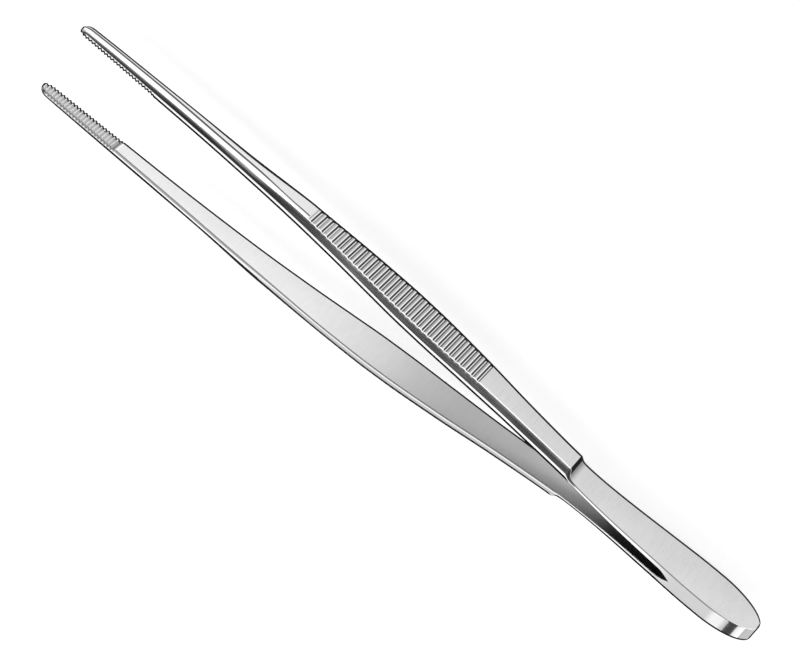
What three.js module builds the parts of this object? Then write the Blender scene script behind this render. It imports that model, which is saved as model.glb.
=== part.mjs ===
// Steel print tongs of the thumb-forceps pattern, 160 mm long, lying on one side edge.
//
// Two mirror-image forgings are welded together at the heel. From the tip backwards each one has
// a serrated jaw, a slender shank with a half-round back, a fluted finger grip, a square step down
// to a thin spring leaf, and a flat heel pad. Squeezing the grips bends the leaves and brings the
// jaws together.
//
// Millimetres. +X runs from the heel to the tips, Y is the direction in which the arms open, and
// +Z is the direction of the arms' width. The left arm is on +Y and the right arm on -Y. The
// origin is under the middle of the tongs, at the height of the lowest side edges.

import * as THREE from 'three';

// ---- Driving dimensions -------------------------------------------------------------------

const LENGTH = 160;            // tip to heel
const HEEL_WIDTH = 12.2;       // across the heel pad, the widest place
const GRIP_WIDTH = 11.4;       // across a finger grip at its widest
const TIP_HALF_GAP = 6.72;     // from the middle plane to a jaw's face at rest
const WAIST_WIDTH = 8.2;       // across an arm at the step
const SHOULDER_THICK = 1.86;   // arm thickness just in front of the step
const HEEL_THICK = 1.5;        // one heel pad

// Places along the tongs, measured from the tips.
const JAW_END = 17.9;
const TIP_ROUND = 1.9;
const FLUTES_START = 53;
const GRIP_WIDEST = 79;
const FLUTES_END = 94.6;
const STEP_AT = 116.6;
const LEAF_START = 120;
const FLEX_AT = 129;           // middle of the spring leaf, where the arm turns
const SLOT_ARCH = 139.4;       // the slot between the leaves starts to close here
const SLOT_END = 142.4;
const HEEL_WIDEST = 148.6;
const HEEL_ROUND = 10.4;       // length of the heel's rounded end

const TOOTH_COUNT = 23;
const TOOTH_DEPTH = 0.3;
const FIRST_TOOTH = 0.9;
const FLUTE_COUNT = 32;
const FLUTE_DEPTH = 0.22;
const FLUTE_GROOVE = 0.55;     // share of the flute pitch that is groove
const SIDE_EDGE = 0.86;        // upright band of the side, next to the inner face
const EDGE_SHARE = 0.8;        // the same band's share of the thickness on the leaf and the heel
const HEEL_FLAT_FROM = 1.4;    // the heel keeps its full width from this far before its widest place
const GRIP_FLAT_HALF = 1.5;    // the grip keeps its full width this far each way
const GRIP_DRAFT = 1.05;       // how far the back is narrower than the inner face, per side
const LEAF_DRAFT = 0.12;
const HEEL_DRAFT = 0.25;
const NARROWEST_BACK = 0.05;
const TIP_THICK_SHARE = 0.35;  // thickness left at the very tip
const ARCH_POWER = 1.8;        // how blunt the closed end of the slot is
const LAST_LAND = 0.3;         // plain land behind the last tooth
const FLEX_GAP = 0.3;          // clearance between the two halves of a leaf

// ---- Curves along an arm: [distance from the tip, value] ------------------------------------

const HALF_GAP = [
  [0, TIP_HALF_GAP], [18, 6.62], [30, 6.56], [42, 6.45], [60, 5.98], [76, 5.06],
  [92, 3.87], [108, 2.38], [116, 1.68], [122, 1.22], [130, 0.84], [SLOT_ARCH, 0.68],
];
const INNER_WIDTH = [
  [0, 3.1], [10, 3.7], [18, 4.2], [30, 5], [42, 6.3], [52, 7.6], [60, 9], [69, 10.5],
  [GRIP_WIDEST - GRIP_FLAT_HALF, GRIP_WIDTH],
  [GRIP_WIDEST + GRIP_FLAT_HALF, GRIP_WIDTH], [92, 10.4], [104, 8.85],
  [STEP_AT, WAIST_WIDTH], [122, 8.75], [130, 9.95], [139, 11.3],
  [HEEL_WIDEST - HEEL_FLAT_FROM, HEEL_WIDTH], [LENGTH - HEEL_ROUND, HEEL_WIDTH],
];
const THICKNESS = [
  [0, 1.5], [8, 1.75], [33, 2.05], [50, 2.05], [66, 1.9], [92, 1.94],
  [STEP_AT, SHOULDER_THICK],
];
const LEAF_THICKNESS = [
  [STEP_AT, 0.56], [122, 0.56], [130, 0.69], [SLOT_ARCH, 0.82],
];
// How round the back is: 1 is a half-round section, 0 is flat with drafted sides.
const ROUNDNESS = [[0, 1], [36, 1], [FLUTES_START, 0], [LENGTH, 0]];
// The step's profile: [distance past STEP_AT, share of the drop still to go].
const STEP_PROFILE = [[0, 1], [0.8, 0.3], [1.7, 0.1], [LEAF_START - STEP_AT, 0]];

const SECTION_ANGLES = [0, 25, 52, 78];

// ---- Where the cross-sections of each stretch lie -------------------------------------------

const SHANK_STEPS = 9;
const SHOULDER_STEPS = 6;
const LEAF_STEPS = 3;
const TIP_PLACES = [0.06, 0.3, 0.6];
const ARCH_SHARES = [0, 0.35, 0.6, 0.8, 1];
const PAD_MIDDLE = 145;
const HEEL_END_SHARES = [0.78, 0.58, 0.4, 0.24, 0.12, 0.04, 0.005];

const DOME_TOP = Math.sin(THREE.MathUtils.degToRad(SECTION_ANGLES.at(-1)));

// Monotone cubic interpolation through a list of [place, value] pairs.
function along(table, u) {
  const last = table.length - 1;
  if (u <= table[0][0]) {
    return table[0][1];
  }
  if (u >= table[last][0]) {
    return table[last][1];
  }
  const slope = (i) => (table[i + 1][1] - table[i][1]) / (table[i + 1][0] - table[i][0]);
  const tangent = (i) => {
    if (i === 0 || i === last) {
      return slope(Math.min(i, last - 1));
    }
    const before = slope(i - 1);
    const after = slope(i);
    return before * after > 0 ? (2 * before * after) / (before + after) : 0;
  };
  const i = table.findIndex(([place], k) => k < last && u < table[k + 1][0] && u >= place);
  const span = table[i + 1][0] - table[i][0];
  const t = (u - table[i][0]) / span;
  const a = (1 + 2 * t) * (1 - t) ** 2 * table[i][1];
  const b = t * (1 - t) ** 2 * span * tangent(i);
  const c = t * t * (3 - 2 * t) * table[i + 1][1];
  const d = t * t * (t - 1) * span * tangent(i + 1);
  return a + b + c + d;
}

// Share of the full section that is left where an end is rounded off over a given length.
function roundedEnd(distanceFromEnd, length) {
  const t = Math.min(1, Math.max(0, distanceFromEnd / length));
  return Math.sqrt(1 - (1 - t) ** 2);
}

// The arm's plain shape at a place u: gap to the middle plane, thickness and half widths.
function shapeAt(u) {
  const tip = roundedEnd(u, TIP_ROUND);
  const heel = roundedEnd(LENGTH - u, HEEL_ROUND);
  let gap = along(HALF_GAP, u);
  if (u > SLOT_ARCH) {
    const t = Math.min(1, (u - SLOT_ARCH) / (SLOT_END - SLOT_ARCH));
    gap *= 1 - t ** ARCH_POWER;
  }
  const halfInner = 0.5 * along(INNER_WIDTH, u) * tip * heel;
  let thick = along(THICKNESS, u) * (TIP_THICK_SHARE + (1 - TIP_THICK_SHARE) * tip);
  let draft = GRIP_DRAFT * Math.min(1, halfInner / (0.5 * WAIST_WIDTH));
  let edge = SIDE_EDGE;
  if (u > STEP_AT) {
    const share = along(STEP_PROFILE, u - STEP_AT);
    const leaf = along(LEAF_THICKNESS, u);
    thick = leaf + (SHOULDER_THICK - leaf) * share;
    draft = LEAF_DRAFT + (GRIP_DRAFT - LEAF_DRAFT) * share;
    edge = Math.min(SIDE_EDGE, EDGE_SHARE * thick);
  }
  if (u > SLOT_ARCH) {
    const outer = along(HALF_GAP, SLOT_ARCH) + along(LEAF_THICKNESS, SLOT_ARCH);
    const t = Math.min(1, (u - SLOT_ARCH) / (HEEL_WIDEST - SLOT_ARCH));
    thick = outer + (HEEL_THICK - outer) * t - gap;
    draft = HEEL_DRAFT * heel;
    edge = EDGE_SHARE * thick;
  }
  const halfOuter = Math.max(NARROWEST_BACK, halfInner - draft);
  return { gap, thick, halfInner, halfOuter, edge };
}

// Cross-section ring as [across the opening, along the width] pairs, from one lower corner of the
// inner face over the back to the other. A cut lowers the inner face, a groove lowers the back.
function sectionRing(u, cut = 0, groove = 0) {
  const { gap, thick, halfInner, halfOuter, edge } = shapeAt(u);
  const round = along(ROUNDNESS, u);
  const back = thick - groove;
  const draftShare = groove / Math.max(0.01, thick - edge);
  const corner = halfOuter + (halfInner - halfOuter) * draftShare;
  const flat = [
    [halfInner, cut], [halfInner, edge], [corner, back], [corner / 3, back],
  ];
  const half = flat.map(([w, o], i) => {
    const angle = THREE.MathUtils.degToRad(SECTION_ANGLES[i]);
    const roundW = halfInner * Math.cos(angle);
    const roundO = cut + ((thick - cut) * Math.sin(angle)) / DOME_TOP;
    return [gap + o + (roundO - o) * round, w + (roundW - w) * round];
  });
  const mirrored = half.map(([o, w]) => [o, -w]).reverse();
  return half.concat(mirrored);
}

// Stations along an arm: the place, the cut into the inner face and the groove in the back.
function plainStations(from, to, count) {
  return Array.from({ length: count + 1 }, (_, i) => ({ u: from + ((to - from) * i) / count }));
}

function jawStations() {
  const pitch = (JAW_END - LAST_LAND - FIRST_TOOTH) / TOOTH_COUNT;
  const stations = TIP_PLACES.map((u) => ({ u }));
  for (let i = 0; i < TOOTH_COUNT; i += 1) {
    const start = FIRST_TOOTH + i * pitch;
    stations.push({ u: start }, { u: start + pitch / 2, cut: TOOTH_DEPTH });
  }
  stations.push({ u: JAW_END - LAST_LAND }, { u: JAW_END });
  return stations;
}

function gripStations() {
  const pitch = (FLUTES_END - FLUTES_START) / FLUTE_COUNT;
  const stations = [];
  for (let i = 0; i < FLUTE_COUNT; i += 1) {
    const start = FLUTES_START + i * pitch;
    const middle = start + 0.5 * pitch;
    const half = 0.5 * FLUTE_GROOVE * pitch;
    stations.push({ u: start }, { u: middle - half });
    stations.push({ u: middle, groove: FLUTE_DEPTH }, { u: middle + half });
  }
  stations.push({ u: FLUTES_END });
  return stations;
}

function shoulderStations() {
  const step = STEP_PROFILE.map(([past]) => ({ u: STEP_AT + past }));
  return [...plainStations(FLUTES_END, STEP_AT, SHOULDER_STEPS).slice(0, -1), ...step];
}

function heelStations() {
  const arch = ARCH_SHARES.map((t) => SLOT_ARCH + t * (SLOT_END - SLOT_ARCH));
  const pad = [PAD_MIDDLE, HEEL_WIDEST - HEEL_FLAT_FROM, LENGTH - HEEL_ROUND];
  const end = HEEL_END_SHARES.map((t) => LENGTH - t * HEEL_ROUND);
  return [...arch, ...pad, ...end].map((u) => ({ u }));
}

// Closed solid through the rings of a list of stations, with a flat cap at each end.
function loft(stations, side) {
  const rings = stations.map(({ u, cut, groove }) => {
    const ring = sectionRing(u, cut, groove);
    return ring.map(([o, w]) => [LENGTH / 2 - u, side * o, HEEL_WIDTH / 2 + w]);
  });
  const count = rings[0].length;
  const faces = [];
  for (let r = 0; r < rings.length - 1; r += 1) {
    for (let k = 0; k < count; k += 1) {
      const next = (k + 1) % count;
      const a = r * count + k;
      const b = r * count + next;
      faces.push([a, a + count, b], [b, a + count, b + count]);
    }
  }
  const lastRing = (rings.length - 1) * count;
  for (let k = 1; k < count - 1; k += 1) {
    faces.push([0, k, k + 1], [lastRing, lastRing + k + 1, lastRing + k]);
  }
  const index = faces.flatMap(([a, b, c]) => (side > 0 ? [a, c, b] : [a, b, c]));
  const geometry = new THREE.BufferGeometry();
  geometry.setAttribute('position', new THREE.Float32BufferAttribute(rings.flat(2), 3));
  geometry.setIndex(index);
  geometry.computeVertexNormals();
  return geometry;
}

// ---- Assembly -----------------------------------------------------------------------------

const FINISHES = {
  jaw: { color: 0xc9cacb, roughness: 0.38, metalness: 1 },
  shank: { color: 0xd8d9da, roughness: 0.18, metalness: 1 },
  grip: { color: 0xcfd0d1, roughness: 0.26, metalness: 1 },
  leaf_front: { color: 0xd2d3d4, roughness: 0.34, metalness: 1 },
  leaf_rear: { color: 0xd2d3d4, roughness: 0.34, metalness: 1 },
  heel: { color: 0xd2d3d4, roughness: 0.34, metalness: 1 },
};

const STRETCHES = {
  jaw: jawStations(),
  shank: plainStations(JAW_END, FLUTES_START, SHANK_STEPS),
  grip: gripStations(),
  shoulder: shoulderStations(),
  leaf_front: plainStations(LEAF_START, FLEX_AT - FLEX_GAP / 2, LEAF_STEPS),
  leaf_rear: plainStations(FLEX_AT + FLEX_GAP / 2, SLOT_ARCH, LEAF_STEPS),
  heel: heelStations(),
};

const tongs = new THREE.Group();
for (const [arm, side] of [['left', 1], ['right', -1]]) {
  for (const [stretch, stations] of Object.entries(STRETCHES)) {
    const finish = FINISHES[stretch] ?? FINISHES.grip;
    const mesh = new THREE.Mesh(loft(stations, side), new THREE.MeshStandardMaterial(finish));
    mesh.name = `${arm}_${stretch}`;
    tongs.add(mesh);
  }
}

export default tongs;
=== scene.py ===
"""Steel print tongs, lying on one side edge: two mirror-image sprung arms welded at the heel."""

import math

import bpy
import numpy as np
from mathutils import Matrix, Vector


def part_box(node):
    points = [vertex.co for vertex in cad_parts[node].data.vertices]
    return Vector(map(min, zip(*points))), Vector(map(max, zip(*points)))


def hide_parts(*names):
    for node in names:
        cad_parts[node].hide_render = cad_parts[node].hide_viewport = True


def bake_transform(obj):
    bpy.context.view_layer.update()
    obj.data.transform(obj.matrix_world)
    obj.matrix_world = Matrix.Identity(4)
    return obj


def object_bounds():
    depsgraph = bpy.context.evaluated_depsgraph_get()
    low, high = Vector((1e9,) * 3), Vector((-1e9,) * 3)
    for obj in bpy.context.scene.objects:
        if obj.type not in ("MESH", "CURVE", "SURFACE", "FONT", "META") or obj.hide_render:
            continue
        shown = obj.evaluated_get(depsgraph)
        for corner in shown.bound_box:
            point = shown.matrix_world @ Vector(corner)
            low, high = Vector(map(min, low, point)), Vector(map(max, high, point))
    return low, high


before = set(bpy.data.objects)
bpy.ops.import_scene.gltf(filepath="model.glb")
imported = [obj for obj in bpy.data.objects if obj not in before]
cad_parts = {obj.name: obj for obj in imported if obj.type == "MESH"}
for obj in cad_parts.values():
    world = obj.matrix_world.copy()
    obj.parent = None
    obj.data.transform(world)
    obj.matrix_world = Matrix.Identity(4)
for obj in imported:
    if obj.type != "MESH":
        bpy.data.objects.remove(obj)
cad_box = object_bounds()

MM = 0.001

# ---- Places along an arm, in millimetres from the tips -------------------------------------

BOX_LOW, BOX_HIGH = (Vector(corner) for corner in cad_box)
TIP_X = BOX_HIGH.x / MM
HEEL_X = BOX_LOW.x / MM
MIDDLE_Z = 0.5 * (BOX_LOW.z + BOX_HIGH.z) / MM
HEEL_WIDTH = (BOX_HIGH.z - BOX_LOW.z) / MM
LENGTH = TIP_X - HEEL_X


def from_tip(node, end):
    """Distance from the tips to the front (0) or rear (1) end of a left node, in mm."""
    low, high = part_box(node)
    return TIP_X - (high.x, low.x)[end] / MM


GRIP_LOW, GRIP_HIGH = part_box("left_grip")
GRIP_WIDTH = (GRIP_HIGH.z - GRIP_LOW.z) / MM
JAW_END = from_tip("left_jaw", 1)
FLUTES_START = from_tip("left_grip", 0)
FLUTES_END = from_tip("left_grip", 1)
LEAF_START = from_tip("left_leaf_front", 0)
SLOT_ARCH = from_tip("left_heel", 0)
STEP_LENGTH = 3.4
STEP_AT = LEAF_START - STEP_LENGTH
ARCH_LENGTH = 3.0
SLOT_END = SLOT_ARCH + ARCH_LENGTH
GRIP_WIDEST = 79.0
GRIP_FLAT_HALF = 1.5
HEEL_WIDEST = 148.6
HEEL_FLAT_FROM = HEEL_WIDEST - 1.4
HEEL_ROUND = 10.4
TIP_ROUND = 1.9
SERRATED_END = JAW_END + 0.3
STEP_FACE_FROM = STEP_AT + 0.03
STEP_FACE_END = STEP_AT + 0.75
DRAFTED_SIDE_END = STEP_AT + 0.95
FILLET_FROM = STEP_AT + 0.7

# ---- Section sizes, in millimetres ----------------------------------------------------------

SHOULDER_THICK = 1.86
HEEL_THICK = 1.5
TIP_THICK_SHARE = 0.3
SIDE_EDGE = 0.86
ARM_EDGE_SHARE = 0.55
LEAF_EDGE_SHARE = 0.4
HEEL_EDGE_SHARE = 0.72
GRIP_DRAFT = 1.05
FULL_DRAFT_HALF_WIDTH = 4.1
LEAF_DRAFT = 0.03
HEEL_DRAFT = 0.004
END_ROUND = 0.3
NARROWEST_HALF_BACK = 0.02
ARCH_POWER = 1.8
INNER_EDGE_RADIUS = 0.1
INNER_RADIUS_SHARE = 0.25
GRIP_EDGE_RADIUS = 0.36
LEAF_EDGE_RADIUS = 0.12
OUTER_RADIUS_SHARE = 0.28

TOOTH_COUNT = 23
TOOTH_DEPTH = 0.3
TOOTH_STEEPNESS = 1.25
TOOTH_LAND = 0.06
FIRST_TOOTH = 0.4
PLAIN_AFTER_TEETH = 0.5
LAST_GROOVE_HALF = 0.25
LAST_GROOVE_DEPTH = 0.16

FLUTE_COUNT = 32
FLUTE_DEPTH = 0.17
FLUTE_SHIFT = 0.7
# Where the steep wall starts and the gentle wall ends, and their lengths, in shares of the pitch.
STEEP_WALL = (0.16, 0.14)
GENTLE_WALL = (0.72, 0.2)
# Middle and half width of the painted shade on the walls and the painted glints on the land and the
# floor of a flute.
STEEP_WALL_MARK = (0.55, 0.13)
GENTLE_WALL_MARK = (0.92, 0.09)
GENTLE_WALL_SHADE = 0.95
FIRST_TWO_SIDED_FLUTE = 5
LAND_GLINT = (0.35, 0.09)
FLOOR_GLINT = (0.73, 0.07)
FLOOR_GLINT_SHARE = 0.9

# ---- Strips and shades ----------------------------------------------------------------------

# Widths of the painted shade strips beside the corners and of the space between rows, in
# millimetres.
STRIP_FADE = 0.06
ROW_SPACE = 0.012
EDGE_ROW_SPACE = 0.02
SHANK_ROW_SPACE = 0.12
WELD_SPREAD = 0.04
LOWER_STRIP = 0.58
UPPER_STRIP = 0.06
BAND_STRIP = 0.34
SIDE_STRIP = 1.4
HEEL_SIDE_STRIP = 0.34
BARE_SIDE_STRIP = 0.03
END_STRIP = 0.34
TIP_STRIP = 0.4
FLANK_STRIP_END = 52.0
LINE_HALF_WIDTH = 0.22
FULL_DRAFT = 0.5

# Limits on the painted shade strips and lines, as shares of the face that each lies on.
LEAST_FLAT_SHARE = 0.5
BAND_FROM_LIMIT = 0.8
BAND_CLEAR_LIMIT = 0.85
CORNER_LIMIT = 0.8
SIDE_STRIP_LIMIT = 0.9
RIGHT_SIDE_STRIP_LIMIT = 0.3
LEAF_STRIP_LIMIT = 0.95
PAINTED_LINE_LIMIT = 0.7
LINE_HALF_LIMIT = 0.5
LINE_FADE_LIMIT = 0.3

# How much of a painted shade strip is lost on the upper left side, on the grip and on the leaf.
FLANK_BAND_LOSS = 0.65
GRIP_STRIP_LOSS = 0.1
LEAF_CORNER_LOSS = 0.6

# Shades, from 0 to 1, of painted shade on corners, sides, lines, the flank, the fillet and the jaw
# groove; HEEL_SHADE darkens the heel band and BRIGHT_SPOT_SHARE lifts it there as a painted
# highlight.
INNER_CORNER_SHADE = 0.6
SIDE_SHADE = 0.34
SHOULDER_SIDE_SHADE = 0.7
PARTING_SHADE = 0.8
LINE_SHADE = 0.88
LEAF_LINE_SHADE = 0.6
FLANK_SHADE = 0.48
HEEL_SHADE = 0.42
BRIGHT_SPOT_SHARE = 0.6
FILLET_SHADE = 0.7
JAW_GROOVE_SHADE = 0.75

# Where along the arm something starts to change, and over what length it does.
HEEL_WELD = (SLOT_ARCH, ARCH_LENGTH)
LEAF_RISE = (STEP_AT, 1.5)
FLANK_RISE = (45.0, 15.0)
HEEL_RISE = (134.0, 10.0)
BRIGHT_SPOT_RISE = (151.0, 1.4)
BRIGHT_SPOT_END = 154.7
SHANK_ROWS_FADE = (40.0, 12.0)
GRIP_STRIP_FADE = (66.0, 14.0)
LEAF_LINE_FROM = STEP_AT + 1
LEAF_LINE_FADE = (150.0, 8.0)
SHOULDER_SIDE_RISE = (FLUTES_END, 12.0)
FILLET_FADE = (FILLET_FROM, 1.2)

# Painted shade and rows that change towards the tip, and the painted shade and highlight marks at
# the end of the jaw.
SHANK_SIDE_LENGTH = 9.0
TIP_SIDE_LENGTH = 24.0
TIP_DOME_LENGTH = 30.0
TIP_DOME_SHARE = 0.75
JAW_GROOVE_AT = JAW_END - 0.45
JAW_RIDGE_AT = JAW_END + 0.05
JAW_MARK_HALF = 0.2

# Curves along an arm: (distance from the tip, value).
HALF_GAP = [
    (0, 6.72), (18, 6.62), (30, 6.56), (42, 6.45), (60, 5.98), (76, 5.06),
    (92, 3.87), (108, 2.38), (116, 1.68), (122, 1.22), (130, 0.84), (SLOT_ARCH, 0.68),
]
INNER_WIDTH = [
    (0, 3.1), (10, 3.7), (18, 4.2), (30, 5), (42, 6.3), (52, 7.6), (60, 9), (69, 10.5),
    (GRIP_WIDEST - GRIP_FLAT_HALF, GRIP_WIDTH), (GRIP_WIDEST + GRIP_FLAT_HALF, GRIP_WIDTH),
    (92, 10.4), (104, 8.85), (STEP_AT, 8.2), (122, 8.75), (130, 9.95), (139, 11.3),
    (HEEL_FLAT_FROM, HEEL_WIDTH), (LENGTH - HEEL_ROUND, HEEL_WIDTH),
]
THICKNESS = [
    (0, 1.5), (8, 1.75), (33, 2.03), (50, 2.03), (66, 1.9), (92, 1.94), (STEP_AT, SHOULDER_THICK),
]
LEAF_THICKNESS = [(STEP_AT, 0.56), (122, 0.56), (130, 0.69), (SLOT_ARCH, 0.82)]
ROUNDNESS = [(0, 1), (36, 1), (FLUTES_START, 0), (LENGTH, 0)]
# Painted shade on the inner faces: darker towards the crossing and near black inside the slot
# between the arms.
INNER_PAINTED_SHADE = [
    (0, 0), (62, 0), (77, 0.13), (86, 0.33), (97, 0.46), (107, 0.47), (118, 0.43), (125, 0.5),
    (131, 0.88), (LENGTH, 0.94),
]
# Where the painted reflection line on the back of a shank lies, measured from the middle of the
# back.
PAINTED_LINE = [(0, 0.38), (15, 0.42), (33, 0.88), (40, 0.98), (50, 1.68), (LENGTH, 1.68)]
# How much of a flute's depth each row from the side to the back has.
GROOVE_SHARE = [0, 0, 0, 0, 0, 0, 0.08, 0.25, 0.55, 0.85, 1]
# Rows of the shank's dome, in degrees up from the parting line to the middle of the back.
DOME_ANGLES = [22, 24, 32, 40, 45, 49, 53, 56, 59, 61, 63, 65, 72, 76, 83, 86, 90]
LOWER_DOME_ANGLES = [22, 27, 32, 37, 43, 49, 55, 61, 68, 76, 82, 82.5, 83, 84, 85.5, 87.5, 90]
# How much of the step's height is left at a distance behind it.
STEP_PROFILE = [(0, 1), (0.12, 0.97), (0.85, 0.3), (1.2, 0.14), (1.9, 0.05), (STEP_LENGTH, 0)]
# Rows are counted from the parting line to the middle of the back.
PAINTED_LINE_ROW = 12
# Rows of the shank's upper half that carry a painted highlight.
BRIGHT_ROWS = range(5, 13)
GATHERED_FROM_ROW = 8
INNER_SHARES = (0, 0.35, 0.7, 1)
INNER_CORNER_ANGLES = (0, 30, 60, 90)
OUTER_CORNER_ANGLES = (0, 22, 45, 68, 90)
SIDE_ROW_SHARES = (0.15, 0.4, 0.75, 1)
# A row of the painted line lies at least this many degrees up the dome, and a little more for each
# row.
LINE_LEAST_ANGLE = 65.5
LINE_ANGLE_STEP = 0.1

# Distances between stations, in millimetres; on the flutes, a share of the pitch.
TOOTH_SPACING = 0.06
SHANK_SPACING = 0.5
FLUTE_SPACING = 0.0417
SHOULDER_SPACING = 0.6
LEAF_SPACING = 0.4
HEEL_SPACING = 0.4
TIP_STATIONS, ARCH_STATIONS, HEEL_STATIONS = 14, 16, 60
SHARP_FROM = math.radians(32)
NEVER_ZERO = 1e-12


def along(table, u):
    """Monotone cubic interpolation through (place, value) pairs, at an array of places."""
    x = np.array([p for p, _ in table], float)
    y = np.array([v for _, v in table], float)
    slope = np.diff(y) / np.diff(x)
    product = slope[1:] * slope[:-1]
    total = slope[1:] + slope[:-1]
    inner = np.where(product > 0, 2 * product / (total + NEVER_ZERO), 0)
    tangent = np.concatenate([slope[:1], inner, slope[-1:]])
    u = np.clip(u, x[0], x[-1])
    i = np.clip(np.searchsorted(x, u, side="right") - 1, 0, len(x) - 2)
    span = x[i + 1] - x[i]
    t = (u - x[i]) / span
    return (
        (1 + 2 * t) * (1 - t) ** 2 * y[i]
        + t * (1 - t) ** 2 * span * tangent[i]
        + t * t * (3 - 2 * t) * y[i + 1]
        + t * t * (t - 1) * span * tangent[i + 1]
    )


def rounded_end(distance, length):
    """Height of a quarter-round end, 0 to 1, at a distance from the end."""
    t = np.clip(distance / length, 0, 1)
    return np.sqrt(1 - (1 - t) ** 2)


def smooth(t):
    """Eases a value between 0 and 1, and holds it there outside."""
    t = np.clip(t, 0, 1)
    return t * t * (3 - 2 * t)


def ramp(u, start, length):
    """Rises smoothly from 0 to 1 over a length that begins at a place."""
    return smooth((u - start) / length)


def tooth_cut(u):
    """Depth of the V teeth below the inner face."""
    teeth_end = JAW_END - PLAIN_AFTER_TEETH
    pitch = (teeth_end - FIRST_TOOTH) / TOOTH_COUNT
    phase = np.mod((u - FIRST_TOOTH) / pitch, 1)
    wave = np.clip(TOOTH_STEEPNESS * (1 - np.abs(2 * phase - 1)) - TOOTH_LAND, 0, 1)
    cut = TOOTH_DEPTH * wave * (u > FIRST_TOOTH) * (u < teeth_end)
    from_groove = np.abs(u - (JAW_END - LAST_GROOVE_HALF))
    return cut + LAST_GROOVE_DEPTH * np.clip(1 - from_groove / LAST_GROOVE_HALF, 0, 1)


def flute_phase(u):
    """Place within a flute, 0 to 1, the number of the flute, and whether there is one."""
    turns = (u - FLUTES_START) / (FLUTES_END - FLUTES_START) * FLUTE_COUNT
    inside = (u > FLUTES_START) * (u < FLUTES_END)
    return np.mod(turns, 1), np.floor(turns), inside


def bump(phase, mark):
    """A rounded bump of height 1 on the repeating phase from 0 to 1."""
    middle, half_width = mark
    away = np.abs(np.mod(phase - middle + 0.5, 1) - 0.5)
    return smooth(1.5 - away / half_width)


def flute_groove(u):
    """Depth of the flutes below the back: a steep wall towards the tip, a gentler one behind."""
    phase, _, inside = flute_phase(u)
    phase = np.mod(phase + FLUTE_SHIFT, 1)
    gentle_end, gentle_length = GENTLE_WALL
    walls = ramp(phase, *STEEP_WALL) * smooth((gentle_end - phase) / gentle_length)
    return FLUTE_DEPTH * inside * walls


def flute_marks(u):
    """Painted shade on the walls of the flutes and painted glints on their lands and floors, 0 to
    1.
    """
    phase, number, inside = flute_phase(u)
    gentle = GENTLE_WALL_SHADE * bump(phase, GENTLE_WALL_MARK) * (number >= FIRST_TWO_SIDED_FLUTE)
    dark = np.maximum(bump(phase, STEEP_WALL_MARK), gentle)
    floor_glint = FLOOR_GLINT_SHARE * bump(phase, FLOOR_GLINT)
    bright = np.maximum(bump(phase, LAND_GLINT), floor_glint)
    return inside * dark, inside * bright


def arm_shape(u):
    """Gap, thickness, half widths and side edge height of an arm at an array of places."""
    behind_step = u > STEP_AT
    on_heel = u > SLOT_ARCH
    gap = along(HALF_GAP, u)
    closing = np.clip((u - SLOT_ARCH) / ARCH_LENGTH, 0, 1)
    gap = gap * (1 - closing ** ARCH_POWER)
    tip = rounded_end(u, TIP_ROUND)
    heel = rounded_end(LENGTH - u, HEEL_ROUND)
    half_inner = 0.5 * along(INNER_WIDTH, u) * tip * heel

    thick = along(THICKNESS, u) * (TIP_THICK_SHARE + (1 - TIP_THICK_SHARE) * tip)
    leaf = along(LEAF_THICKNESS, u)
    share = np.where(behind_step, along(STEP_PROFILE, u - STEP_AT), 1)
    thick = np.where(behind_step, leaf + (SHOULDER_THICK - leaf) * share, thick)
    at_arch = along(HALF_GAP, np.array([SLOT_ARCH])) + along(LEAF_THICKNESS, np.array([SLOT_ARCH]))
    to_heel = np.clip((u - SLOT_ARCH) / (HEEL_WIDEST - SLOT_ARCH), 0, 1)
    heel_thick = at_arch + (HEEL_THICK - at_arch) * to_heel - gap
    end_round = END_ROUND * (1 - rounded_end(LENGTH - u, END_ROUND))
    thick = np.where(on_heel, heel_thick - end_round, thick)

    draft = GRIP_DRAFT * np.minimum(1, half_inner / FULL_DRAFT_HALF_WIDTH) * share
    draft = draft + LEAF_DRAFT * (1 - share)
    draft = np.where(on_heel, HEEL_DRAFT * heel, draft)
    leaf_edge_share = LEAF_EDGE_SHARE + (HEEL_EDGE_SHARE - LEAF_EDGE_SHARE) * smooth(closing)
    edge_share = np.where(behind_step, leaf_edge_share, ARM_EDGE_SHARE)
    edge = np.minimum(np.where(on_heel, thick, SIDE_EDGE), edge_share * thick)
    half_outer = np.maximum(NARROWEST_HALF_BACK, half_inner - draft)
    return gap, thick, half_inner, half_outer, edge


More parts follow.
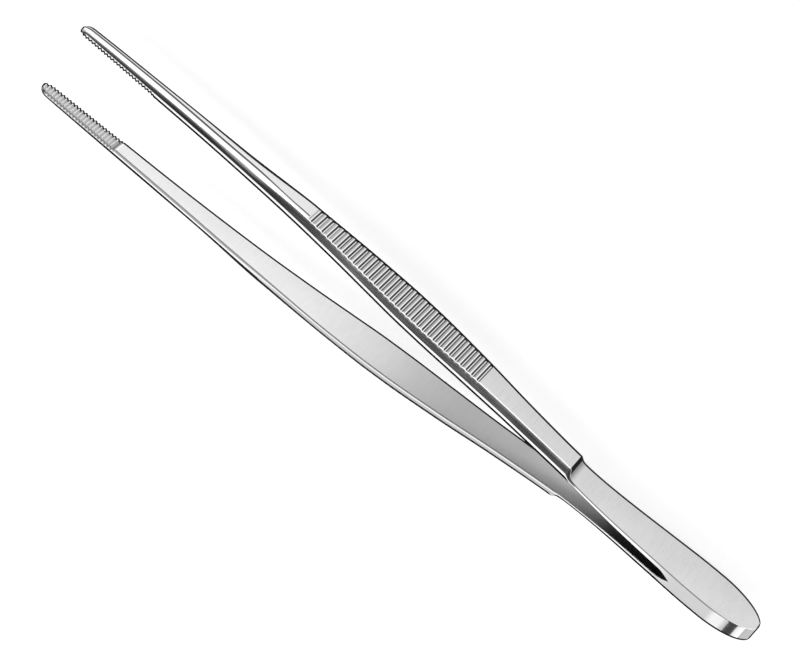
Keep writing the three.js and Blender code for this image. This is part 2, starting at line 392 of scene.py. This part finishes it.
def half_section(u, side, low):
    """Half of an arm's section, from the middle of the inner face to the middle of the back.

    Returns, for each row, width and opening coordinates, darkness from 0 to 1 that paints shade and
    the heel's darker tone, brightness from 0 to 1 that paints highlights, and the zone of the strip
    from it to the next row.
    """
    gap, thick, a, c, edge = arm_shape(u)
    cut = tooth_cut(u)
    groove = flute_groove(u)
    roundness = along(ROUNDNESS, u)
    inner_shade = along(INNER_PAINTED_SHADE, u)
    welded = ramp(u, *HEEL_WELD)
    forked = 1 - welded
    on_leaf = ramp(u, *LEAF_RISE)
    upper_left = side > 0 and not low
    upper_right = side < 0 and not low
    ri = np.minimum(INNER_EDGE_RADIUS, INNER_RADIUS_SHARE * np.minimum(a, thick)) * forked
    ro = np.where(u < STEP_AT, GRIP_EDGE_RADIUS, LEAF_EDGE_RADIUS)
    ro = np.minimum(ro, OUTER_RADIUS_SHARE * np.minimum(c, thick))
    strip = LOWER_STRIP if low else UPPER_STRIP
    # The inner corner is a black painted shade strip, except on the upper left, where a lighter
    # painted shade line runs.
    inner_corner = "edge" if upper_left else "inner_strip"
    corner_shade = INNER_CORNER_SHADE if upper_left else 0
    # The outer corner is a black painted shade strip, except on the upper right.
    outer_corner = "rim" if upper_right else "strip"
    # A painted highlight: the heel's darker tone is lifted over a short spot near its end.
    bright_spot = ramp(u, *BRIGHT_SPOT_RISE) * smooth(BRIGHT_SPOT_END - u)
    heel_shade = HEEL_SHADE * ramp(u, *HEEL_RISE) * (1 - BRIGHT_SPOT_SHARE * bright_spot)
    rows = []

    def add(width, opening, dark, zone, bright=0):
        rows.append((width, opening, dark + 0 * u, bright + 0 * u, zone))

    # The inner face with its painted shade, and its corner.
    flat_edge = a - ri
    strip_in = np.maximum(flat_edge - strip, LEAST_FLAT_SHARE * flat_edge)
    for share in INNER_SHARES:
        add((strip_in - STRIP_FADE) * share, cut, inner_shade, "inner")
    add(strip_in, cut, np.maximum(inner_shade, corner_shade), inner_corner)
    shade = corner_shade * forked * (1 - LEAF_CORNER_LOSS * on_leaf)
    shade = np.maximum(shade, heel_shade * (u > SLOT_END))
    for angle in INNER_CORNER_ANGLES:
        t = math.radians(angle)
        spread = WELD_SPREAD * angle / INNER_CORNER_ANGLES[-1] * welded
        opening = cut + ri * (1 - math.cos(t)) + spread
        add(flat_edge + ri * math.sin(t), opening, shade, inner_corner)

    # The flat side band, from the inner corner to the parting line.
    # Painted shade on the upper side band of the left arm, from near the flutes to the step.
    flank_share = ramp(u, *FLANK_RISE) * upper_left
    band_shade = np.maximum(heel_shade, FLANK_SHADE * flank_share * (1 - on_leaf))
    band_strip = BAND_STRIP * forked * (1 - on_leaf) * (1 - FLANK_BAND_LOSS * flank_share)
    band_from = np.minimum(cut + ri + band_strip, BAND_FROM_LIMIT * edge)
    band_from = np.maximum(band_from, np.maximum(cut + ri, WELD_SPREAD) + ROW_SPACE)
    band_clear = np.minimum(band_from + STRIP_FADE, BAND_CLEAR_LIMIT * edge)
    below_edge = EDGE_ROW_SPACE + SHANK_ROW_SPACE * (1 - ramp(u, *SHANK_ROWS_FADE))
    shade = np.maximum(corner_shade * forked * (1 - on_leaf), heel_shade)
    add(a, band_from, shade, "band")
    add(a, band_clear, heel_shade, "band")
    add(a, 0.5 * (band_clear + edge), band_shade, "band")
    add(a, edge - below_edge, band_shade, "flank" if upper_left else "band")

    # Above the parting line: a dome on the shanks, drafted flat sides and a flat back elsewhere.
    rise = thick - edge
    length = np.hypot(a - c, rise)
    lean = np.arctan2(a - c, rise)
    drafted = smooth((a - c) / FULL_DRAFT)
    tangent = np.minimum(ro * np.tan(0.5 * (math.pi / 2 - lean)), CORNER_LIMIT * length)
    # Width of the black painted shade strip on the side below the outer corner.
    side_strip = SIDE_STRIP * drafted * (1 - GRIP_STRIP_LOSS * ramp(u, *GRIP_STRIP_FADE))
    side_strip = side_strip + HEEL_SIDE_STRIP * (1 - drafted)
    side_strip = np.minimum(side_strip, SIDE_STRIP_LIMIT * length - tangent)
    if side < 0:
        side_strip = np.minimum(side_strip, RIGHT_SIDE_STRIP_LIMIT * length)
    leaf_strip = BARE_SIDE_STRIP if upper_right else HEEL_SIDE_STRIP
    leaf_strip = np.minimum(leaf_strip, LEAF_STRIP_LIMIT * length - tangent)
    side_strip = np.where(u > STEP_AT, leaf_strip, side_strip)
    strip_share = 1 - (side_strip + tangent) / length
    # Painted shade on the right arm's drafted side: darkest on the shank and the shoulder, fading
    # out towards the tip.
    shade = 0
    if side < 0:
        shade = 1 + smooth((FLUTES_START - u) / SHANK_SIDE_LENGTH)
        shade = shade + SHOULDER_SIDE_SHADE * ramp(u, *SHOULDER_SIDE_RISE)
        shade = SIDE_SHADE * drafted * shade
    first_shade = np.maximum(shade, heel_shade)
    side_shade = np.maximum(shade * smooth(u / TIP_SIDE_LENGTH), heel_shade)
    side_zone = "flank" if upper_left else "side"
    # A painted shade line runs along the parting line where the side is drafted.
    outside = [(a, edge, np.maximum(PARTING_SHADE * drafted, heel_shade), side_zone)]
    for k, row_share in enumerate(SIDE_ROW_SHARES):
        share = row_share * strip_share
        zone = side_zone if row_share < 1 else "side" if upper_right else "strip"
        dark = side_shade if k else first_shade
        outside.append((a + (c - a) * share, edge + rise * share, dark, zone))
    # A painted shade line along the upper edge of the leaf's back.
    leaf_line = 0
    if not low:
        leaf_line = LEAF_LINE_SHADE * (u > LEAF_LINE_FROM) * (1 - ramp(u, *LEAF_LINE_FADE))
    for k, angle in enumerate(OUTER_CORNER_ANGLES):
        t = lean + (math.pi / 2 - lean) * angle / OUTER_CORNER_ANGLES[-1]
        zone = outer_corner if low or k < 2 else "rim"
        width = c - tangent + ro * np.cos(t)
        outside.append((width, thick - ro + ro * np.sin(t), leaf_line, zone))
    back_edge = c - tangent
    strip_back = np.maximum(back_edge - strip, LEAST_FLAT_SHARE * back_edge)
    back_clear = strip_back - STRIP_FADE
    outside.append((strip_back, thick, leaf_line, "back"))
    outside.append((back_clear, thick, 0, "back"))

    # The painted reflection line and the painted highlight are drawn on the upper half only; the
    # lower half spaces its rows evenly.
    on_shank = (not low) * (u < FLUTES_START)
    line_at = np.minimum(along(PAINTED_LINE, u), PAINTED_LINE_LIMIT * strip_back)
    half = np.minimum(LINE_HALF_WIDTH, LINE_HALF_LIMIT * line_at)
    fade = np.minimum(STRIP_FADE, LINE_FADE_LIMIT * line_at)
    line = ((half + fade, 0), (half, LINE_SHADE), (-half, LINE_SHADE), (-half - fade, 0))
    for k, (offset, dark) in enumerate(line):
        width = back_clear * (len(line) - k) / (len(line) + 1) if low else line_at + offset
        outside.append((width, thick, dark * on_shank, "back"))
    outside.append((0 * u, thick, 0, "back"))

    angles = LOWER_DOME_ANGLES if low else DOME_ANGLES
    start = math.radians(angles[0])
    for k, (width, opening, dark, zone) in enumerate(outside):
        t = math.radians(angles[k])
        if low and k >= GATHERED_FROM_ROW:
            near_tip = 1 - smooth(u / TIP_DOME_LENGTH)
            t = t + TIP_DOME_SHARE * (math.pi / 2 - t) * near_tip
        if not low and k >= PAINTED_LINE_ROW:
            least = math.radians(LINE_LEAST_ANGLE + LINE_ANGLE_STEP * k)
            t = np.arccos(np.clip(width * math.cos(start) / a, 0, math.cos(least)))
        dome_width = a * np.cos(t) / math.cos(start)
        dome_opening = edge + rise * (np.sin(t) - math.sin(start)) / (1 - math.sin(start))
        depth = GROOVE_SHARE[min(k, len(GROOVE_SHARE) - 1)]
        width = width + (dome_width - width) * roundness
        opening = opening + (dome_opening - opening) * roundness - groove * depth
        add(width, opening, dark, zone, on_shank if k in BRIGHT_ROWS else 0)
    widths, openings, darkness, brightness, zones = zip(*rows)
    openings = np.array(openings).T + gap[:, None]
    return np.array(widths).T, openings, np.array(darkness).T, np.array(brightness).T, zones


def stations():
    """Places along an arm, close together where the shape is fine."""
    flute_pitch = (FLUTES_END - FLUTES_START) / FLUTE_COUNT
    parts = [
        0.02 + TIP_ROUND * (1 - np.cos(np.linspace(0.05, 1.0, TIP_STATIONS))),
        np.arange(0.95, JAW_END + 0.1, TOOTH_SPACING),
        np.arange(SERRATED_END, FLUTES_START - 0.2, SHANK_SPACING),
        FLUTES_START + flute_pitch * np.arange(0, FLUTE_COUNT, FLUTE_SPACING),
        np.arange(FLUTES_END, STEP_AT - 0.3, SHOULDER_SPACING),
        STEP_AT + np.array([-0.25, -0.1, 0, 0.06, 0.12, 0.3, 0.5, 0.7]),
        STEP_AT + np.array([0.85, 1.0, 1.2, 1.5, 1.9, 2.4, 2.9, STEP_LENGTH]),
        np.arange(LEAF_START + 0.5, SLOT_ARCH - 0.1, LEAF_SPACING),
        SLOT_ARCH + (SLOT_END - SLOT_ARCH) * np.linspace(0, 1, ARCH_STATIONS),
        np.arange(SLOT_END + HEEL_SPACING, LENGTH - HEEL_ROUND, HEEL_SPACING),
        LENGTH - HEEL_ROUND * (1 - np.cos(np.linspace(math.pi / 2, 0.012, HEEL_STATIONS))),
    ]
    return np.unique(np.round(np.concatenate(parts), 4))


def whole_ring(top, low):
    """Joins the values of the upper and lower half sections into values all round."""
    return np.concatenate([top, low[:, -2:0:-1]], axis=1)


def build_arm(name, side, materials):
    """One whole arm as a closed mesh, from tip to heel."""
    u = stations()
    top_w, top_o, top_dark, top_bright, top_zones = half_section(u, side, False)
    low_w, low_o, low_dark, low_bright, low_zones = half_section(u, side, True)
    ring_w = whole_ring(top_w, -low_w)
    ring_o = whole_ring(top_o, low_o)
    dark = whole_ring(top_dark, low_dark)
    bright = whole_ring(top_bright, low_bright)
    strips = top_zones[:-1] + low_zones[:-1][::-1]
    rings, count = ring_w.shape
    x = np.repeat(TIP_X - u, count)
    co = np.stack([x, side * ring_o.ravel(), MIDDLE_Z + ring_w.ravel()], axis=1) * MM
    faces, slots = [], []
    order = list(materials)
    for r in range(rings - 1):
        place = 0.5 * (u[r] + u[r + 1])
        for k in range(count):
            a, b = r * count + k, r * count + (k + 1) % count
            quad = (a, b, b + count, a + count)
            faces.append(quad if side > 0 else quad[::-1])
            slots.append(order.index(finish_of(strips[k], place)))
    caps = [list(range(count)), list(range((rings - 1) * count, rings * count))]
    faces.append(caps[0][::-1] if side > 0 else caps[0])
    faces.append(caps[1] if side > 0 else caps[1][::-1])
    # The end caps are painted black shade with the strip finish.
    slots += [order.index("strip"), order.index("strip")]
    mesh = bpy.data.meshes.new(name)
    mesh.from_pydata([tuple(p) for p in co], [], faces)
    for material in materials.values():
        mesh.materials.append(material)
    mesh.polygons.foreach_set("material_index", slots)
    mesh.polygons.foreach_set("use_smooth", [True] * len(faces))
    # Painted shade on the flute walls, on the fillet behind the step and in a groove at the jaw's
    # end; painted highlights on the flutes and on a ridge at the jaw's end.
    flute_dark, flute_bright = flute_marks(u)
    step_fillet = FILLET_SHADE * (u > FILLET_FROM) * (1 - ramp(u, *FILLET_FADE))
    jaw_groove = JAW_GROOVE_SHADE * smooth(1.5 - np.abs(u - JAW_GROOVE_AT) / JAW_MARK_HALF)
    jaw_ridge = smooth(1.5 - np.abs(u - JAW_RIDGE_AT) / JAW_MARK_HALF)
    all_zones = top_zones + low_zones[-2:0:-1]
    on_back = np.array([zone == "back" for zone in all_zones])
    inside = np.array([zone in ("inner", "edge") for zone in all_zones])
    marks = np.maximum(flute_dark, step_fillet)[:, None] * on_back + jaw_groove[:, None] * inside
    store(mesh, "dark", np.maximum(dark, marks))
    glints = flute_bright[:, None] * on_back + jaw_ridge[:, None] * inside
    store(mesh, "bright", np.maximum(bright, glints))
    # Tooth depth paints shade into the valleys of the teeth.
    store(mesh, "tooth_depth", (tooth_cut(u) / TOOTH_DEPTH)[:, None] * inside)
    mesh.set_sharp_from_angle(angle=SHARP_FROM)
    mesh.update()
    piece = bpy.data.objects.new(name, mesh)
    bpy.context.scene.collection.objects.link(piece)
    return piece


def store(mesh, name, values):
    """Stores a number for every point of a mesh."""
    attribute = mesh.attributes.new(name, "FLOAT", "POINT")
    attribute.data.foreach_set("value", values.ravel().astype(np.float32))


def finish_of(zone, u):
    """Which finish a strip of the section has at a place along the arm."""
    # The strip finish is painted black shade: strips along the outlines, and the tip and heel ends.
    if zone == "strip" or u < TIP_STRIP or u > LENGTH - END_STRIP:
        return "strip"
    if zone == "flank":
        zone = "side" if u > FLANK_STRIP_END else "inner_strip"
    if zone in ("edge", "inner_strip") and u > SLOT_END:
        return "heel_band"
    if zone in ("edge", "rim", "inner_strip"):
        return "strip" if zone == "inner_strip" else "polished"
    if zone == "inner":
        return "serrated" if u < SERRATED_END else "inner"
    if zone == "band":
        return "band" if u < LEAF_START else "heel_band"
    if zone == "side":
        if u < DRAFTED_SIDE_END:
            return "side"
        return "band" if u < LEAF_START else "heel_band"
    if u < FLUTES_START:
        return "polished"
    if u < FLUTES_END:
        return "fluted"
    # The step face is painted black shade with the strip finish.
    return "strip" if STEP_FACE_FROM < u < STEP_FACE_END else "satin"


# ---- Materials ------------------------------------------------------------------------------

CROSSWISE = (1.0, 0.06, 0.06)
LENGTHWISE = (0.06, 1.0, 1.0)
# Painted shade: the near black that the dark attribute mixes in along outlines, lines, corners,
# flute walls and fillets.
PAINTED_SHADE_COLOR = (0.012, 0.012, 0.013)
# Painted shade in the valleys of the teeth, mixed in by tooth depth.
TOOTH_VALLEY_SHADE = (0.5, 0.5, 0.505)
# Painted highlight: the near white that the bright attribute mixes in on the shank, the flutes and
# the jaw's end.
PAINTED_HIGHLIGHT_COLOR = (0.96, 0.96, 0.965)
# How much of the mottling is fine grain; the rest is broad clouds.
GRAIN_SHARE = 0.65
CLOUD_SCALE = 110.0
MOTTLE_LOW, MOTTLE_HIGH = 0.3, 0.7
RELIEF_HEIGHT = 0.0001
# Settings of the dark matt material that paints shade along the outlines.
EDGE_SHADE_SPECULAR = 0.05
EDGE_SHADE_GRAIN_SCALE = 2500.0
EDGE_SHADE_LIGHTER = 2.2


def node(tree, kind, **values):
    """Adds a node and sets its inputs or its settings by name."""
    n = tree.nodes.new(kind)
    for key, value in values.items():
        if key in n.inputs:
            n.inputs[key].default_value = value
        else:
            setattr(n, key, value)
    return n


def blend_color(tree, factor, start, end):
    """Mixes from one colour to another by a socket; each colour is a socket or a tuple."""
    mix = node(tree, "ShaderNodeMix", data_type="RGBA")
    tree.links.new(factor, mix.inputs["Factor"])
    for key, value in (("A", start), ("B", end)):
        if isinstance(value, tuple):
            mix.inputs[key].default_value = (*value, 1)
        else:
            tree.links.new(value, mix.inputs[key])
    return mix.outputs["Result"]


def steel(name, color, spread, roughness, grain, grain_scale, relief):
    """Metal whose colour and roughness vary with a stretched grain; point attributes mix painted
    shade and painted highlights into its colour.
    """
    material = bpy.data.materials.new(name)
    material.use_nodes = True
    tree = material.node_tree
    shader = tree.nodes["Principled BSDF"]
    shader.inputs["Metallic"].default_value = 1.0
    coordinates = node(tree, "ShaderNodeTexCoord")
    mapping = node(tree, "ShaderNodeMapping", Scale=grain)
    tree.links.new(coordinates.outputs["Object"], mapping.inputs["Vector"])
    fine = node(tree, "ShaderNodeTexNoise", Scale=grain_scale, Detail=6.0, Roughness=0.65)
    tree.links.new(mapping.outputs["Vector"], fine.inputs["Vector"])
    broad = node(tree, "ShaderNodeTexNoise", Scale=CLOUD_SCALE, Detail=3.0, Roughness=0.5)
    tree.links.new(coordinates.outputs["Object"], broad.inputs["Vector"])
    part = node(tree, "ShaderNodeMath", operation="MULTIPLY")
    tree.links.new(broad.outputs["Fac"], part.inputs[0])
    part.inputs[1].default_value = 1 - GRAIN_SHARE
    mixed = node(tree, "ShaderNodeMath", operation="MULTIPLY_ADD")
    tree.links.new(fine.outputs["Fac"], mixed.inputs[0])
    mixed.inputs[1].default_value = GRAIN_SHARE
    tree.links.new(part.outputs[0], mixed.inputs[2])
    mottle = node(tree, "ShaderNodeMapRange")
    mottle.inputs["From Min"].default_value = MOTTLE_LOW
    mottle.inputs["From Max"].default_value = MOTTLE_HIGH
    tree.links.new(mixed.outputs[0], mottle.inputs["Value"])
    low = tuple(c * (1 - spread) for c in color)
    high = tuple(min(1, c * (1 + spread)) for c in color)
    result = blend_color(tree, mottle.outputs["Result"], low, high)
    # Point attributes paint shade into the tooth valleys, paint highlights and paint darker shade
    # into the colour.
    marks = (("tooth_depth", TOOTH_VALLEY_SHADE), ("bright", PAINTED_HIGHLIGHT_COLOR), ("dark", PAINTED_SHADE_COLOR))
    for attribute, target in marks:
        value = node(tree, "ShaderNodeAttribute", attribute_name=attribute)
        result = blend_color(tree, value.outputs["Fac"], result, target)
    tree.links.new(result, shader.inputs["Base Color"])
    rough = node(tree, "ShaderNodeMapRange")
    rough.inputs["To Min"].default_value = roughness[0]
    rough.inputs["To Max"].default_value = roughness[1]
    tree.links.new(mottle.outputs["Result"], rough.inputs["Value"])
    tree.links.new(rough.outputs["Result"], shader.inputs["Roughness"])
    bumps = node(tree, "ShaderNodeBump", Strength=relief, Distance=RELIEF_HEIGHT)
    tree.links.new(fine.outputs["Fac"], bumps.inputs["Height"])
    tree.links.new(bumps.outputs["Normal"], shader.inputs["Normal"])
    return material


def painted_shade_steel(name, color, roughness):
    """Dark matt material that paints black shade along the outlines, on the step face and on the
    ends.
    """
    material = bpy.data.materials.new(name)
    material.use_nodes = True
    tree = material.node_tree
    shader = tree.nodes["Principled BSDF"]
    shader.inputs["Specular IOR Level"].default_value = EDGE_SHADE_SPECULAR
    shader.inputs["Roughness"].default_value = roughness
    coordinates = node(tree, "ShaderNodeTexCoord")
    grain = node(
        tree, "ShaderNodeTexNoise", Scale=EDGE_SHADE_GRAIN_SCALE, Detail=4.0, Roughness=0.6,
    )
    tree.links.new(coordinates.outputs["Object"], grain.inputs["Vector"])
    lighter = tuple(EDGE_SHADE_LIGHTER * c for c in color)
    result = blend_color(tree, grain.outputs["Fac"], color, lighter)
    tree.links.new(result, shader.inputs["Base Color"])
    return material


# Finish and material name, colour and its spread, roughness, grain, grain scale and relief.
STEELS = [
    ("polished", "polished_steel", (0.80, 0.80, 0.81), 0.03, (0.09, 0.16), LENGTHWISE, 1500, 0.015),
    ("satin", "satin_steel", (0.655, 0.655, 0.66), 0.07, (0.24, 0.34), CROSSWISE, 2600, 0.05),
    ("inner", "inner_face_steel", (0.82, 0.82, 0.822), 0.07, (0.26, 0.38), CROSSWISE, 2600, 0.07),
    ("band", "side_band_steel", (0.80, 0.80, 0.805), 0.04, (0.14, 0.22), LENGTHWISE, 1800, 0.03),
    ("side", "drafted_side_steel", (0.58, 0.58, 0.585), 0.2, (0.2, 0.34), LENGTHWISE, 1600, 0.08),
    ("fluted", "fluted_steel", (0.44, 0.44, 0.445), 0.08, (0.2, 0.3), CROSSWISE, 2200, 0.04),
    ("serrated", "serrated_steel", (0.78, 0.78, 0.785), 0.06, (0.22, 0.34), CROSSWISE, 2400, 0.05),
    (
        "heel_band", "heel_band_steel", (0.80, 0.80, 0.805), 0.04, (0.09, 0.13),
        LENGTHWISE, 1800, 0.02,
    ),
]
materials = {finish: steel(*values) for finish, *values in STEELS}
# The strip finish paints black shade along the outlines, on the step face and on the ends.
materials["strip"] = painted_shade_steel("painted_edge_shade_steel", (0.007, 0.007, 0.0075), 0.85)

for name, side in (("left", 1), ("right", -1)):
    arm = build_arm(f"{name}_arm_steel", side, materials)
    stretches = ("jaw", "shank", "grip", "shoulder", "leaf_front", "leaf_rear", "heel")
    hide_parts(*[f"{name}_{stretch}" for stretch in stretches])
    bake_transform(arm)

# ---- Camera ---------------------------------------------------------------------------------

LENS = 207.5
SENSOR = 36.0
CLIP_START = 0.01
CAMERA_DISTANCE = 0.8172
CAMERA_ELEVATION = math.radians(59.84)
CAMERA_AZIMUTH = math.radians(6.457)
CAMERA_ROLL = math.radians(134.66)
AIM = Vector((0.00195, -0.00059, MIDDLE_Z * MM))

forward = Vector((
    math.cos(CAMERA_ELEVATION) * math.sin(CAMERA_AZIMUTH),
    math.cos(CAMERA_ELEVATION) * math.cos(CAMERA_AZIMUTH),
    -math.sin(CAMERA_ELEVATION),
))
camera_data = bpy.data.cameras.new("camera")
camera_data.lens = LENS
camera_data.sensor_width = SENSOR
camera_data.clip_start = CLIP_START
camera = bpy.data.objects.new("camera", camera_data)
bpy.context.scene.collection.objects.link(camera)
camera.location = AIM - forward * CAMERA_DISTANCE
level = forward.to_track_quat("-Z", "Y").to_matrix()
camera.rotation_euler = (level @ Matrix.Rotation(-CAMERA_ROLL, 3, "Z")).to_euler()
bpy.context.scene.camera = camera

# ---- Floor and light ------------------------------------------------------------------------


def plain_material(name, color, roughness, glow):
    """A plain material that also glows white."""
    material = bpy.data.materials.new(name)
    material.use_nodes = True
    shader = material.node_tree.nodes["Principled BSDF"]
    shader.inputs["Base Color"].default_value = (*color, 1)
    shader.inputs["Roughness"].default_value = roughness
    shader.inputs["Emission Color"].default_value = (1, 1, 1, 1)
    shader.inputs["Emission Strength"].default_value = glow
    return material


FLOOR_HALF = 3.0
floor_mesh = bpy.data.meshes.new("floor")
corners = [(x * FLOOR_HALF, y * FLOOR_HALF, 0) for x, y in ((-1, -1), (1, -1), (1, 1), (-1, 1))]
floor_mesh.from_pydata(corners, [], [(0, 1, 2, 3)])
floor = bpy.data.objects.new("floor", floor_mesh)
light_table = plain_material("light_table", (0.6, 0.6, 0.6), roughness=0.9, glow=0.82)
floor.data.materials.append(light_table)
bpy.context.scene.collection.objects.link(floor)


def softbox(name, direction, distance, width, height, radiance):
    """A soft rectangular light aimed at the tongs from a direction, its width square to Y."""
    light = bpy.data.lights.new(name, "AREA")
    light.shape = "RECTANGLE"
    light.size = width
    light.size_y = height
    light.energy = radiance * math.pi * width * height
    lamp = bpy.data.objects.new(name, light)
    direction = Vector(direction).normalized()
    lamp.location = direction * distance
    upright = (Vector((0, 1, 0)) - direction.y * direction).normalized()
    axes = Matrix((upright.cross(direction), upright, direction)).transposed()
    lamp.rotation_euler = axes.to_euler()
    bpy.context.scene.collection.objects.link(lamp)


def across(angle):
    """A direction at an angle up from -Y, over the top towards +Y."""
    a = math.radians(angle)
    return (0.0, -math.cos(a), math.sin(a))


softbox("overhead_softbox", (0, 0.5, 0.866), distance=1.0, width=1.6, height=0.6, radiance=1.25)
softbox("front_softbox", across(6), distance=1.0, width=2.6, height=0.45, radiance=1.3)
softbox("heel_softbox", (-0.828, 0.5, 0.253), distance=0.9, width=0.26, height=0.5, radiance=1.8)

# Pale walls all round up to a low height, and a dim room above them.
WALL_TOP = 0.2
ROOM_FROM = 0.3
ROOM_LIGHT = 0.12
world = bpy.data.worlds.new("studio")
bpy.context.scene.world = world
world.use_nodes = True
studio = world.node_tree
direction = node(studio, "ShaderNodeTexCoord")
axes = node(studio, "ShaderNodeSeparateXYZ")
studio.links.new(direction.outputs["Generated"], axes.inputs["Vector"])
walls = node(studio, "ShaderNodeMapRange")
walls.inputs["From Min"].default_value = WALL_TOP
walls.inputs["From Max"].default_value = ROOM_FROM
walls.inputs["To Min"].default_value = 1.0
walls.inputs["To Max"].default_value = ROOM_LIGHT
studio.links.new(axes.outputs["Z"], walls.inputs["Value"])
studio.links.new(walls.outputs["Result"], studio.nodes["Background"].inputs["Strength"])
studio.nodes["Background"].inputs["Color"].default_value = (1, 1, 1, 1)
bpy.context.scene.view_settings.view_transform = "Standard"
